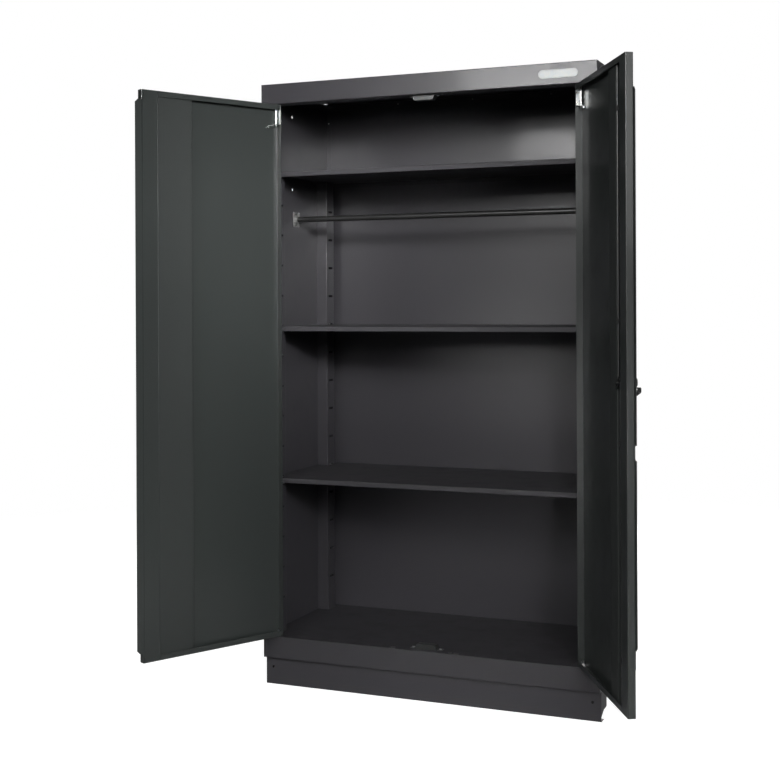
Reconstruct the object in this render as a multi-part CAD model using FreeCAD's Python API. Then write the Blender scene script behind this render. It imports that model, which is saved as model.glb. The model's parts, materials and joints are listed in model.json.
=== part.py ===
import FreeCAD, Part
import math
import os

Vector = FreeCAD.Vector

# Folded sheet-steel cabinet with two doors, shelves, a hanging rail and a rod lock.
# Millimetres, +Z up, +Y to the back, +X to the right seen from the front.
# The origin is the middle of the plinth's bottom flange, on the floor.

# Overall sizes
BODY_WIDTH = 1025.0
BODY_HEIGHT = 1800.0
BODY_DEPTH = 460.0
SHEET = 1.0
BEND = 1.0
SEAM = 0.2

# Plinth and legs
PLINTH_HEIGHT = 83.0
PLINTH_RECESS = 18.0
PLINTH_FLANGE = 30.0
PLINTH_RETURN = 61.0
PLINTH_RETURN_LOW = 27.0
PLINTH_SCREW_INSET = 24.0
PLINTH_SCREW_Z = 52.0
LEG_WIDTH = 55.0
LEG_DEPTH = 71.0
LEG_PLATE = 2.0
LEG_SIDE_GAP = 2.0
NUT_PLATE_Z = 28.0
FOOT_REACH = 49.0
FOOT_PAD_D = 34.0
FOOT_PAD_H = 8.0
FOOT_LIFT = 0.3
FOOT_STUD_D = 10.0
FOOT_STUD_TOP = 62.0
FOOT_NUT_AF = 17.0
FOOT_NUT_H = 8.0
LEG_BOLT_D = 6.0
LEG_BOLT_AF = 10.0
LEG_BOLT_ENDS = (10.0, 32.0)
LEG_BOLT_HEAD = 4.0
LEG_BOLT_LENGTH = 8.0
LEG_BOLT_INSET = 15.0

# Fascia, rail, stiles and flanges
FASCIA_HEIGHT = 60.0
FASCIA_RETURN = 50.0
FASCIA_UPTURN = 12.0
RAIL_HEIGHT = 65.0
RAIL_RETURN = 25.0
STILE_WIDTH = 35.0
STILE_RETURN = 20.0
REAR_FLANGE = 16.0
EDGE_FLANGE = 20.0
FOOT_FLANGE = 25.0
LINK_HOLE_D = 8.5
LINK_HOLE_DEPTH = 202.0
LINK_HOLE_DROPS = (71.0, 299.0)
TOP_HOLE_D = 15.0
TOP_HOLE_INSET = 12.5
TOP_HOLE_DEPTH = 423.0

# Uprights, shelves and hanging rail
UPRIGHT_SHEET = 1.2
UPRIGHT_PROUD = 36.0
UPRIGHT_DEPTH = 54.0
FRONT_UPRIGHT_AT = 25.0
REAR_UPRIGHT_BEHIND = 84.0
SLOT_LENGTH = 28.0
SLOT_HEIGHT = 7.0
SLOT_PITCH = 91.4
SHELF_STEPS = 5
SHELF_LOW_Z = 618.0
TOP_SHELF_DROP = 260.0
SHELF_FRONT = 36.0
SHELF_REAR_GAP = 4.0
SHELF_SIDE_GAP = 1.5
SHELF_LIP = 15.0
SHELF_RETURN = 10.0
NOTCH_GAP = 2.0
CLIP_SHEET = 1.5
CLIP_WIDTH = 26.0
CLIP_TONGUE = 22.0
CLIP_TAIL = 9.0
CLIP_LEG = 20.0
RAIL_TUBE_D = 18.0
RAIL_TUBE_WALL = 1.2
RAIL_TUBE_DROP = 132.0
RAIL_TUBE_DEPTH = 222.0
RAIL_BRACKET_HEIGHT = 46.0
RAIL_BRACKET_WIDTH = 36.0
RAIL_BRACKET_PROUD = 5.0
RAIL_BRACKET_SHEET = 1.5
RAIL_SOCKET_WALL = 2.0
RAIL_SOCKET_LENGTH = 9.0
RAIL_FIT = 0.2
RAIL_SCREW_SPREAD = 33.0

# Doors, in a flat frame: u from the hinge edge, v from the outer face inwards
DOOR_THICK = 20.0
DOOR_GAP = 3.0
HINGE_EDGE = 38.0
PIVOT_U = 8.0
PIVOT_V = 6.0
LEFT_OPEN_ANGLE = 117.0
RIGHT_OPEN_ANGLE = 119.0
DOOR_LIP = 15.0
LIP_GAP = 2.0
FREE_FLANGE = 50.0
STIFFENER_OUTER = 166.0
STIFFENER_HEIGHT = 13.0
STIFFENER_FOOT = 10.0
LEFT_CHANNEL = 4.0
ROD_CHANNEL = 51.0
STIFFENER_END_GAP = 0.5
STRIP_SHEET = 1.2
STRIP_BASE = 33.0
STRIP_JOGGLE = 0.6
INNER_STRIP_PROUD = 21.0
INNER_STRIP_END = 28.0
OUTER_STRIP_PROUD = 10.5
OUTER_STRIP_TOP = 82.0
OUTER_STRIP_BOTTOM = 115.0
OUTER_STRIP_STEP = 46.0
STRIP_CHAMFER = 9.0
FINGER_NOTCH_Z = 783.0
FINGER_NOTCH_H = 36.0
FINGER_NOTCH_DEPTH = 12.0

# Hinges
PIN_D = 6.0
RUN_FIT = 0.06
SEAT_FIT = 0.05
PIN_ENGAGE = 6.0
PIN_TAIL = 20.0
PIN_BEND = 7.0
BUSH_WALL = 1.2
BUSH_FLANGE = 0.9
BUSH_FLANGE_H = 1.2
BUSH_SLEEVE = 6.0
BRACKET_SHEET = 1.5
BRACKET_HEIGHT = 57.0
BRACKET_WIDTH = 16.0
BRACKET_TAB = 15.0
BRACKET_TOP_GAP = 1.0
SPRING_WIRE = 0.9
SPRING_TURNS = 5
SPRING_LENGTH = 14.5
SPRING_PIN_GAP = 0.5
COLLAR_H = 1.5
LOW_PIN_RISE = 16.0
LOW_PIN_ROOT = 7.0
LOW_COLLAR_D = 11.0
LOW_COLLAR_H = 1.5
BEARING_GAP = 0.3

# Lock on the right door
LOCK_FROM_EDGE = 85.0
LOCK_Z = 946.0
ROD_D = 5.0
ROD_OFFSET = 9.0
ROD_V = 12.0
ROD_END_GAP = 0.5
ROD_HOOK_V = 18.8
ROD_BEND = 4.0
ROD_FIT = 0.08
CAM_V = 15.0
CAM_PLATE = 2.5
CAM_WIDTH = 16.0
CAM_REACH = 18.5
CAM_SLOT_PLAY = 0.9
SPINDLE_D = 12.0
SPINDLE_SQUARE = 6.0
ROSE_D = 34.0
ROSE_H = 4.0
BARREL_D = 18.0
BARREL_LENGTH = 7.0
LOCK_NUT_AF = 24.0
LOCK_NUT_H = 4.0
HUB_D = 26.0
HUB_PROUD = 31.0
HUB_ROUND = 4.0
LEVER_WIDTH = 14.0
LEVER_SADDLE = 26.0
LEVER_SHOULDER = 12.0
LEVER_PROUD = 41.0
LEVER_SLOPE = 25.0
LEVER_TIP = 22.0
LEVER_DROP = 39.0
LEVER_CLEAR = 10.0
LEVER_CORNERS = (0.0, 0.0, 1.5, 3.0, 6.0, 3.0, 2.0)
LEVER_ROUND = 2.0
EYE_D = 6.4
EYE_DROP = 17.5
EYE_PROUD = 31.0
PLUG_D = 12.0
PLUG_DEPTH = 15.0
PLUG_PROUD = 1.0
KEYWAY_WIDTH = 2.2
KEYWAY_HEIGHT = 7.5
KEYWAY_DEPTH = 9.0
GUIDE_HALF = 4.2
GUIDE_LENGTH = 12.0
GUIDE_FROM_LOCK = 150.0
GUIDE_FROM_END = 120.0
SOCKET_WALL = 1.6
SOCKET_PLAY = 0.8

# Catches, glides, badge and screws
CATCH_WIDTH = 68.0
CATCH_DEPTH = 24.0
CATCH_HEIGHT = 14.0
CATCH_SLANT = 5.0
CATCH_PLATE_WIDTH = 98.0
CATCH_PLATE = 1.5
CATCH_SCREW_AT = 41.0
CATCH_GAP = 0.5
CATCH_CORNER = 3.0
GLIDE_AT = 97.0
GLIDE_WIDTH = 15.0
GLIDE_DEPTH = 11.0
GLIDE_FROM_EDGE = 2.0
GLIDE_GAP = 0.4
GLIDE_ROUND = 1.2
BADGE_WIDTH = 112.0
BADGE_HEIGHT = 24.0
BADGE_THICK = 1.2
BADGE_INSET = 108.5
BADGE_CORNER = 11.8
SCREW_HEAD_D = 8.0
SCREW_HEAD_H = 2.2
SCREW_SHANK_D = 4.0
SCREW_SHANK_L = 5.0
SCREW_HOLE_PLAY = 0.15
SCREW_CROWN = 1.3
SCREW_DRIVE_WIDTH = 0.9
SCREW_DRIVE_LENGTH = 4.0
SCREW_DRIVE_DEPTH = 1.2
BACK_SCREW_ROWS = 6
BACK_SCREW_END = 60.0

# Places worked out from the driving sizes
FRONT = -(PLINTH_RECESS + PLINTH_FLANGE / 2)
LEFT = -BODY_WIDTH / 2
WALL = LEFT + SHEET
REAR = FRONT + BODY_DEPTH
FASCIA_Z = BODY_HEIGHT - FASCIA_HEIGHT
RAIL_TOP = PLINTH_HEIGHT + RAIL_HEIGHT
SIDE_LOW = PLINTH_HEIGHT - SHEET
FLANGE_REAR = REAR - SHEET
FLANGE_FACE = FLANGE_REAR - SHEET
DOOR_WIDTH = BODY_WIDTH / 2 - HINGE_EDGE - DOOR_GAP / 2
DOOR_TOP = FASCIA_Z - DOOR_GAP
DOOR_LOW = RAIL_TOP + DOOR_GAP
PIVOT_X = LEFT + HINGE_EDGE + PIVOT_U
PIVOT_Y = FRONT + PIVOT_V
TOP_SHELF_Z = BODY_HEIGHT - TOP_SHELF_DROP
MID_SHELF_Z = SHELF_LOW_Z + SHELF_STEPS * SLOT_PITCH
RAIL_TUBE_Z = TOP_SHELF_Z - RAIL_TUBE_DROP
REAR_UPRIGHT_AT = BODY_DEPTH - REAR_UPRIGHT_BEHIND
LOCK_U = DOOR_WIDTH - LOCK_FROM_EDGE
PIN_R = PIN_D / 2
BUSH_R = PIN_R + RUN_FIT + BUSH_WALL
ROD_R = ROD_D / 2
SIDES = (-1, 1)
MATCH = 0.1
UP = Vector(0, 0, 1)
INWARD = Vector(0, 1, 0)


# Plane names and the point that two flat coordinates give at a level
PLANES = {
    "xy": lambda a, b, level: Vector(a, b, level),
    "yz": lambda a, b, level: Vector(level, a, b),
    "xz": lambda a, b, level: Vector(a, level, b),
}


def box(x0, x1, y0, y1, z0, z1):
    return Part.makeBox(x1 - x0, y1 - y0, z1 - z0, Vector(x0, y0, z0))


def rod(start, direction, radius, length):
    return Part.makeCylinder(radius, length, start, direction)


def join(first, *others):
    return first.fuse(list(others)).removeSplitter()


def cut(shape, *tools):
    return shape.cut(list(tools))


def mirrored(shape):
    return shape.mirror(Vector(0, 0, 0), Vector(1, 0, 0))


def both_sides(shape):
    return [shape, mirrored(shape)]


def prism(points, plane, start, end, radii=None):
    """Extrude a closed outline, each corner rounded by its radius."""
    place = PLANES[plane]
    corners = [Vector(a, b, 0) for a, b in points]
    radii = radii or [0.0] * len(corners)
    rounded = []
    for i, (corner, radius) in enumerate(zip(corners, radii)):
        before = (corners[i - 1] - corner).normalize()
        after = (corners[(i + 1) % len(corners)] - corner).normalize()
        if radius <= 0:
            rounded.append((corner, None, corner))
            continue
        half = before.getAngle(after) / 2
        reach = radius / math.tan(half)
        middle = (before + after).normalize() * (radius / math.sin(half) - radius)
        rounded.append((corner + before * reach, corner + middle, corner + after * reach))

    def at(p):
        return place(p.x, p.y, start)

    edges = []
    for i, (arrive, middle, leave) in enumerate(rounded):
        if middle is not None:
            edges.append(Part.Arc(at(arrive), at(middle), at(leave)).toShape())
        following = rounded[(i + 1) % len(rounded)][0]
        if (following - leave).Length > 1e-6:
            edges.append(Part.LineSegment(at(leave), at(following)).toShape())
    face = Part.Face(Part.Wire(edges))
    return face.extrude(place(0, 0, end) - place(0, 0, start))


def sheet(path, plane, start, end, thick=SHEET, bend=BEND):
    """Folded sheet: the path is its outer face, and the wall lies to the left of it."""
    line = [Vector(a, b, 0) for a, b in path]
    steps = [(q - p).normalize() for p, q in zip(line, line[1:])]
    lefts = [Vector(-s.y, s.x, 0) for s in steps]
    inner = [line[0] + lefts[0] * thick]
    outer_radii = [0.0]
    inner_radii = [0.0]
    for i in range(1, len(line) - 1):
        mitre = lefts[i - 1] + lefts[i]
        inner.append(line[i] + mitre * (2 * thick / mitre.dot(mitre)))
        turns_left = steps[i - 1].cross(steps[i]).z > 0
        outer_radii.append(bend + thick if turns_left else bend)
        inner_radii.append(bend if turns_left else bend + thick)
    inner.append(line[-1] + lefts[-1] * thick)
    outer_radii.append(0.0)
    inner_radii.append(0.0)
    points = [(p.x, p.y) for p in line] + [(p.x, p.y) for p in reversed(inner)]
    return prism(points, plane, start, end, outer_radii + inner_radii[::-1])


def bent_bar(points, radius, bend):
    """Round bar along straight runs joined by tangent arcs."""
    edges = []
    start = points[0]
    for before, corner, after in zip(points, points[1:], points[2:]):
        back = (before - corner).normalize()
        on = (after - corner).normalize()
        half = back.getAngle(on) / 2
        reach = bend / math.tan(half)
        middle = corner + (back + on).normalize() * (bend / math.sin(half) - bend)
        edges.append(Part.LineSegment(start, corner + back * reach).toShape())
        edges.append(Part.Arc(corner + back * reach, middle, corner + on * reach).toShape())
        start = corner + on * reach
    edges.append(Part.LineSegment(start, points[-1]).toShape())
    ring = Part.Wire(Part.makeCircle(radius, points[0], points[1] - points[0]))
    return Part.Wire(edges).makePipeShell([ring], True, False)


def hexagon(centre, direction, across_flats, height):
    """Hexagonal prism standing on a point, along a direction."""
    reach = across_flats / math.sqrt(3)
    corners = [(reach * math.cos(i * math.pi / 3), reach * math.sin(i * math.pi / 3)) for i in range(6)]
    return placed(prism(corners, "xy", 0, height), centre, direction)


def placed(shape, position, direction):
    """A copy of a shape drawn along +Z, moved to a point and turned to a direction."""
    moved = shape.copy()
    moved.Placement = FreeCAD.Placement(position, FreeCAD.Rotation(UP, direction))
    return moved


def make_screw(shank_length):
    """Pan-head screw with a cross drive, its head on z = 0 and its shank below."""
    head = rod(Vector(0, 0, 0), UP, SCREW_HEAD_D / 2, SCREW_HEAD_H)
    rim = max(head.Edges, key=lambda edge: edge.BoundBox.ZMin)
    head = head.makeFillet(SCREW_CROWN, [rim])
    shank = rod(Vector(0, 0, -shank_length), UP, SCREW_SHANK_D / 2, shank_length)
    arm = SCREW_DRIVE_LENGTH / 2
    half = SCREW_DRIVE_WIDTH / 2
    floor = SCREW_HEAD_H - SCREW_DRIVE_DEPTH
    drive = box(-arm, arm, -half, half, floor, SCREW_HEAD_H + 1)
    cross = box(-half, half, -arm, arm, floor, SCREW_HEAD_H + 1)
    return cut(join(head, shank), drive, cross)


def screw_hole(seat, direction, thickness):
    """Clearance hole for a screw, from its seat through a thickness of sheet."""
    radius = SCREW_SHANK_D / 2 + SCREW_HOLE_PLAY
    return rod(seat + direction * 0.5, direction * -1, radius, thickness + 1)


# Places that more than one piece is made to
def side_panel_rooms():
    """Room that the two side panels take from the panels between them."""
    top = BODY_HEIGHT - SHEET
    web = box(LEFT - 1, WALL + SEAM, FRONT + SHEET, REAR + 1, 0, top)
    flange = box(LEFT - 1, LEFT + REAR_FLANGE + SEAM, FLANGE_FACE - BEND, REAR + 1, 0, top)
    return both_sides(web) + both_sides(flange)


def back_screw_seats():
    """Screw seats on the back panel's outer face."""
    seats = []
    span = BODY_HEIGHT - PLINTH_HEIGHT - 2 * BACK_SCREW_END
    x = BODY_WIDTH / 2 - REAR_FLANGE / 2
    for row in range(BACK_SCREW_ROWS):
        z = PLINTH_HEIGHT + BACK_SCREW_END + span * row / (BACK_SCREW_ROWS - 1)
        seats += [Vector(side * x, REAR, z) for side in SIDES]
    for z in (BODY_HEIGHT - EDGE_FLANGE / 2, RAIL_TOP - EDGE_FLANGE / 2):
        seats += [Vector(share * BODY_WIDTH, REAR, z) for share in (-0.25, 0, 0.25)]
    return seats


def back_screw_holes():
    return [screw_hole(seat, INWARD, 2 * SHEET) for seat in back_screw_seats()]


def plinth_screw_seat():
    return Vector(LEFT + PLINTH_SCREW_INSET, FRONT + PLINTH_RECESS, PLINTH_SCREW_Z)


def rail_screw_seats():
    """Screw seats on the web of the left rail bracket."""
    x = WALL + RAIL_BRACKET_SHEET
    y = FRONT + RAIL_TUBE_DEPTH
    return [Vector(x, y, RAIL_TUBE_Z + way * RAIL_SCREW_SPREAD / 2) for way in SIDES]


def catch_screw_seats(plate_z):
    y = FRONT + DOOR_THICK + CATCH_GAP + CATCH_DEPTH / 2
    return [Vector(side * CATCH_SCREW_AT, y, plate_z) for side in SIDES]


def legs():
    """Left legs as (y of the upright plate's outer face, way the leg runs in y, lower edge)."""
    front = (FRONT + PLINTH_RECESS + SHEET, 1, SHEET + BEND + SEAM)
    rear = (FLANGE_REAR, -1, 0)
    return front, rear


def leg_bolt_seats():
    """Undersides of the left legs' top flanges, where the bolt heads sit."""
    x = LEFT + LEG_BOLT_INSET
    z = SIDE_LOW - LEG_PLATE
    return [
        Vector(x, face + way * (LEG_DEPTH - from_end), z)
        for face, way, _ in legs()
        for from_end in LEG_BOLT_ENDS
    ]


def foot_axis(face, way):
    """Floor point under a left foot's stud."""
    return Vector(WALL + LEG_SIDE_GAP + LEG_WIDTH / 2, face + way * FOOT_REACH, 0)


def upright_walls():
    """Front faces of the left uprights in y."""
    return FRONT + FRONT_UPRIGHT_AT, FRONT + REAR_UPRIGHT_AT


def rod_socket_places():
    """Top and bottom lock sockets of the closed right door, as point and way in."""
    x = -(LEFT + HINGE_EDGE + LOCK_U)
    y = FRONT + ROD_V
    top = (Vector(x + ROD_OFFSET, y, FASCIA_Z), UP)
    bottom = (Vector(x - ROD_OFFSET, y, RAIL_TOP), UP * -1)
    return top, bottom


# Carcass panels
def make_side_panel():
    """Left side: rear flange, web, stile and its return in one sheet, with a flange for the legs."""
    path = [
        (LEFT + REAR_FLANGE, FLANGE_REAR),
        (LEFT, FLANGE_REAR),
        (LEFT, FRONT),
        (LEFT + STILE_WIDTH, FRONT),
        (LEFT + STILE_WIDTH, FRONT + STILE_RETURN),
    ]
    panel = sheet(path, "xy", SIDE_LOW, BODY_HEIGHT - SHEET)
    stile = LEFT + STILE_WIDTH + 1
    behind = FRONT + SHEET + SEAM
    deep = FRONT + STILE_RETURN + 1
    for low, high in ((FASCIA_Z - SEAM, BODY_HEIGHT), (SIDE_LOW - 1, RAIL_TOP + SEAM)):
        face = box(LEFT - 1, stile, FRONT - 1, behind, low, high)
        fold = box(WALL, stile, FRONT - 1, deep, low, high)
        panel = cut(panel, face, fold)
    flange_front = FRONT + PLINTH_RECESS + PLINTH_FLANGE + SHEET
    flange_rear = FLANGE_FACE - SHEET
    flange_edge = WALL + FOOT_FLANGE
    low_flange = box(LEFT + SHEET / 2, flange_edge, flange_front, flange_rear, SIDE_LOW, PLINTH_HEIGHT)
    panel = join(panel, low_flange)
    across = Vector(1, 0, 0)
    holes = [screw_hole(seat, across, RAIL_BRACKET_SHEET + SHEET) for seat in rail_screw_seats()]
    for drop in LINK_HOLE_DROPS:
        start = Vector(LEFT - 1, FRONT + LINK_HOLE_DEPTH, BODY_HEIGHT - drop)
        holes.append(rod(start, across, LINK_HOLE_D / 2, SHEET + 2))
    for seat in leg_bolt_seats():
        holes.append(rod(seat, UP, LEG_BOLT_D / 2 + SCREW_HOLE_PLAY, LEG_PLATE + 2 * SHEET))
    return cut(panel, *holes, *back_screw_holes())


def make_top_panel():
    """Top plate with the fascia, its folded underside and the rear flange."""
    path = [
        (FLANGE_REAR, BODY_HEIGHT - EDGE_FLANGE),
        (FLANGE_REAR, BODY_HEIGHT),
        (FRONT, BODY_HEIGHT),
        (FRONT, FASCIA_Z),
        (FRONT + FASCIA_RETURN, FASCIA_Z),
        (FRONT + FASCIA_RETURN, FASCIA_Z + FASCIA_UPTURN),
    ]
    panel = sheet(path, "yz", LEFT, -LEFT)
    panel = cut(panel, *side_panel_rooms())
    inside = WALL + SEAM
    flange_front = FRONT + FASCIA_RETURN + FASCIA_UPTURN
    flange_rear = FLANGE_FACE - FASCIA_UPTURN
    low = BODY_HEIGHT - EDGE_FLANGE
    flange = box(inside, inside + SHEET, flange_front, flange_rear, low, BODY_HEIGHT - SHEET / 2)
    panel = join(panel, *both_sides(flange))
    through = Vector(LEFT + TOP_HOLE_INSET, FRONT + TOP_HOLE_DEPTH, BODY_HEIGHT - SHEET - 1)
    holes = both_sides(rod(through, UP, TOP_HOLE_D / 2, SHEET + 2))
    hinge = Vector(PIVOT_X, PIVOT_Y, FASCIA_Z - 1)
    holes += both_sides(rod(hinge, UP, BUSH_R + SEAT_FIT, SHEET + BEND + 1))
    holes.append(socket_hole(rod_socket_places()[0]))
    for seat in catch_screw_seats(FASCIA_Z - CATCH_PLATE):
        holes.append(screw_hole(seat, UP * -1, CATCH_PLATE + SHEET))
    return cut(panel, *holes, *back_screw_holes())


def make_floor_panel():
    """Floor plate with the front rail, the rear flange and a flange at each side."""
    path = [
        (FLANGE_REAR, RAIL_TOP - EDGE_FLANGE),
        (FLANGE_REAR, RAIL_TOP),
        (FRONT, RAIL_TOP),
        (FRONT, PLINTH_HEIGHT),
        (FRONT + RAIL_RETURN, PLINTH_HEIGHT),
    ]
    panel = sheet(path, "yz", LEFT, -LEFT)
    panel = cut(panel, *side_panel_rooms())
    inside = WALL + SEAM
    flange_front = FRONT + RAIL_RETURN + SHEET
    flange_rear = FLANGE_FACE - SHEET
    low = RAIL_TOP - EDGE_FLANGE
    flange = box(inside, inside + SHEET, flange_front, flange_rear, low, RAIL_TOP - SHEET / 2)
    panel = join(panel, *both_sides(flange))
    pivot = Vector(PIVOT_X, PIVOT_Y, RAIL_TOP - SHEET - BEND)
    holes = both_sides(rod(pivot, UP, PIN_R + SEAT_FIT, SHEET + BEND + 1))
    holes.append(socket_hole(rod_socket_places()[1]))
    for seat in catch_screw_seats(RAIL_TOP + CATCH_PLATE):
        holes.append(screw_hole(seat, UP, CATCH_PLATE + SHEET))
    return cut(panel, *holes, *back_screw_holes())


def make_back_panel():
    panel = box(WALL, -WALL, FLANGE_REAR, REAR, SIDE_LOW, BODY_HEIGHT - SHEET - BEND)
    return cut(panel, *back_screw_holes())


# Plinth, legs and feet
def make_plinth():
    """Kick plate with a top and a bottom flange, and a short return at each end."""
    face = FRONT + PLINTH_RECESS
    path = [
        (face + PLINTH_FLANGE, PLINTH_HEIGHT),
        (face, PLINTH_HEIGHT),
        (face, 0),
        (face + PLINTH_FLANGE, 0),
    ]
    plate = sheet(path, "yz", LEFT, -LEFT)
    outline = [
        (face + SHEET / 2, SIDE_LOW),
        (face + SHEET / 2, PLINTH_RETURN_LOW / 2),
        (face + PLINTH_RETURN / 2, PLINTH_RETURN_LOW),
        (face + PLINTH_RETURN, PLINTH_RETURN_LOW),
        (face + PLINTH_RETURN, SIDE_LOW),
    ]
    end = prism(outline, "yz", LEFT, LEFT + SHEET)
    plate = join(plate, *both_sides(end))
    web = box(LEFT - 1, WALL + SEAM, FRONT, REAR, SIDE_LOW, PLINTH_HEIGHT + 1)
    fixing = screw_hole(plinth_screw_seat(), INWARD * -1, SHEET)
    return cut(plate, *both_sides(web), *both_sides(fixing))


def make_leg(face, way, low):
    """Left leg: an upright plate with a top flange, and a plate for the foot's nut."""
    x = WALL + LEG_SIDE_GAP
    end = face + way * LEG_DEPTH
    path = [(end, SIDE_LOW), (face, SIDE_LOW), (face, low)]
    if way < 0:
        path.reverse()
    leg = sheet(path, "yz", x, x + LEG_WIDTH, thick=LEG_PLATE, bend=LEG_PLATE)
    y0, y1 = sorted((face + way * LEG_PLATE / 2, end))
    leg = join(leg, box(x, x + LEG_WIDTH, y0, y1, NUT_PLATE_Z, NUT_PLATE_Z + LEG_PLATE))
    stud = rod(foot_axis(face, way), UP, FOOT_STUD_D / 2 + ROD_FIT, NUT_PLATE_Z + 2 * LEG_PLATE)
    bolt_hole = LEG_BOLT_D / 2 + SCREW_HOLE_PLAY
    bolts = [rod(seat - UP, UP, bolt_hole, LEG_PLATE + 2) for seat in leg_bolt_seats()]
    fixing = screw_hole(plinth_screw_seat(), INWARD * -1, SHEET + LEG_PLATE)
    return cut(leg, stud, fixing, *bolts)


def make_leg_bolt(seat):
    head = hexagon(seat - UP * LEG_BOLT_HEAD, UP, LEG_BOLT_AF, LEG_BOLT_HEAD)
    return join(head, rod(seat, UP, LEG_BOLT_D / 2, LEG_BOLT_LENGTH))


def make_foot(axis):
    """Levelling foot: round pad with a hexagon for the spanner, and a stud."""
    base = axis + UP * FOOT_LIFT
    pad = rod(base, UP, FOOT_PAD_D / 2, FOOT_PAD_H)
    pad = pad.makeFillet(FOOT_PAD_H / 4, [edge for edge in pad.Edges if len(edge.Vertexes) == 1])
    grip = hexagon(base + UP * FOOT_PAD_H, UP, FOOT_NUT_AF, FOOT_PAD_H / 2)
    stud = rod(base + UP * FOOT_PAD_H, UP, FOOT_STUD_D / 2, FOOT_STUD_TOP - FOOT_PAD_H)
    return join(pad, grip, stud)


def make_foot_nut(axis):
    seat = axis + UP * (NUT_PLATE_Z + LEG_PLATE)
    nut = hexagon(seat, UP, FOOT_NUT_AF, FOOT_NUT_H)
    return cut(nut, rod(seat - UP, UP, FOOT_STUD_D / 2 + ROD_FIT, FOOT_NUT_H + 2))


# Uprights, shelves and hanging rail
def make_upright(face):
    """Left upright: a channel open to the side wall, with a row of slots for the shelf clips."""
    proud = WALL + UPRIGHT_PROUD
    path = [(WALL, face), (proud, face), (proud, face + UPRIGHT_DEPTH), (WALL, face + UPRIGHT_DEPTH)]
    top = TOP_SHELF_Z - SHEET
    channel = sheet(path, "xy", RAIL_TOP, top, thick=UPRIGHT_SHEET)
    middle = face + UPRIGHT_DEPTH / 2
    first = clip_seat(SHELF_LOW_Z)
    first -= SLOT_PITCH * math.floor((first - RAIL_TOP - SLOT_PITCH / 2) / SLOT_PITCH)
    slots = []
    for step in range(int((top - SLOT_PITCH / 2 - first) / SLOT_PITCH) + 1):
        low = first + step * SLOT_PITCH
        ends = [
            (middle - SLOT_LENGTH / 2, low),
            (middle + SLOT_LENGTH / 2, low),
            (middle + SLOT_LENGTH / 2, low + SLOT_HEIGHT),
            (middle - SLOT_LENGTH / 2, low + SLOT_HEIGHT),
        ]
        slots.append(prism(ends, "yz", proud - 2 * UPRIGHT_SHEET, proud + 1, [BEND] * 4))
    return cut(channel, *slots)


def clip_seat(shelf_z):
    """Lower face of the clips that carry a shelf, which is the lower edge of their slots."""
    return shelf_z - SHEET - CLIP_SHEET


def make_clip(face, shelf_z):
    """Shelf clip in a left upright: a tongue under the shelf, a leg and a tail behind the slot."""
    proud = WALL + UPRIGHT_PROUD
    middle = face + UPRIGHT_DEPTH / 2
    y0 = middle - CLIP_WIDTH / 2
    y1 = middle + CLIP_WIDTH / 2
    low = clip_seat(shelf_z)
    high = low + CLIP_SHEET
    tongue = box(proud - CLIP_TAIL, proud + CLIP_TONGUE, y0, y1, low, high)
    leg = box(proud, proud + CLIP_SHEET, y0, y1, high - CLIP_LEG, high)
    tail = box(proud - CLIP_TAIL, proud - CLIP_TAIL + CLIP_SHEET, y0, y1, low, low + SLOT_HEIGHT - BEND)
    return join(tongue, leg, tail)


def make_shelf(z, around_uprights):
    """Shelf with a folded front and rear lip, cut clear of the uprights where they pass it."""
    front = FRONT + SHELF_FRONT
    rear = FLANGE_FACE - SHELF_REAR_GAP
    path = [
        (rear, z - SHELF_LIP),
        (rear, z),
        (front, z),
        (front, z - SHELF_LIP),
        (front + SHELF_RETURN, z - SHELF_LIP),
    ]
    edge = WALL + SHELF_SIDE_GAP
    shelf = sheet(path, "yz", edge, -edge)
    top = z + 1 if around_uprights else z - SHEET
    for face in upright_walls():
        room = box(
            LEFT,
            WALL + UPRIGHT_PROUD + NOTCH_GAP,
            face - NOTCH_GAP,
            face + UPRIGHT_DEPTH + NOTCH_GAP,
            z - 2 * SHELF_LIP,
            top,
        )
        shelf = cut(shelf, *both_sides(room))
    return shelf


def make_rail_tube():
    start = WALL + RAIL_BRACKET_SHEET
    across = Vector(1, 0, 0)
    foot = Vector(start, FRONT + RAIL_TUBE_DEPTH, RAIL_TUBE_Z)
    tube = rod(foot, across, RAIL_TUBE_D / 2, -2 * start)
    return cut(tube, rod(foot - across, across, RAIL_TUBE_D / 2 - RAIL_TUBE_WALL, 2 - 2 * start))


def make_rail_bracket():
    """Left wall bracket: a folded channel with a round socket for the tube."""
    y = FRONT + RAIL_TUBE_DEPTH
    y0 = y - RAIL_BRACKET_WIDTH / 2
    y1 = y + RAIL_BRACKET_WIDTH / 2
    proud = WALL + RAIL_BRACKET_PROUD
    low = RAIL_TUBE_Z - RAIL_BRACKET_HEIGHT / 2
    path = [(proud, y1), (WALL, y1), (WALL, y0), (proud, y0)]
    channel = sheet(path, "xy", low, low + RAIL_BRACKET_HEIGHT, thick=RAIL_BRACKET_SHEET)
    across = Vector(1, 0, 0)
    seat = Vector(WALL + RAIL_BRACKET_SHEET, y, RAIL_TUBE_Z)
    bore = RAIL_TUBE_D / 2 + RAIL_FIT
    start = seat - across * (RAIL_BRACKET_SHEET / 2)
    socket = rod(start, across, bore + RAIL_SOCKET_WALL, RAIL_SOCKET_LENGTH + RAIL_BRACKET_SHEET / 2)
    bracket = cut(join(channel, socket), rod(seat, across, bore, RAIL_SOCKET_LENGTH + 1))
    return cut(bracket, *[screw_hole(place, across, RAIL_BRACKET_SHEET) for place in rail_screw_seats()])


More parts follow.
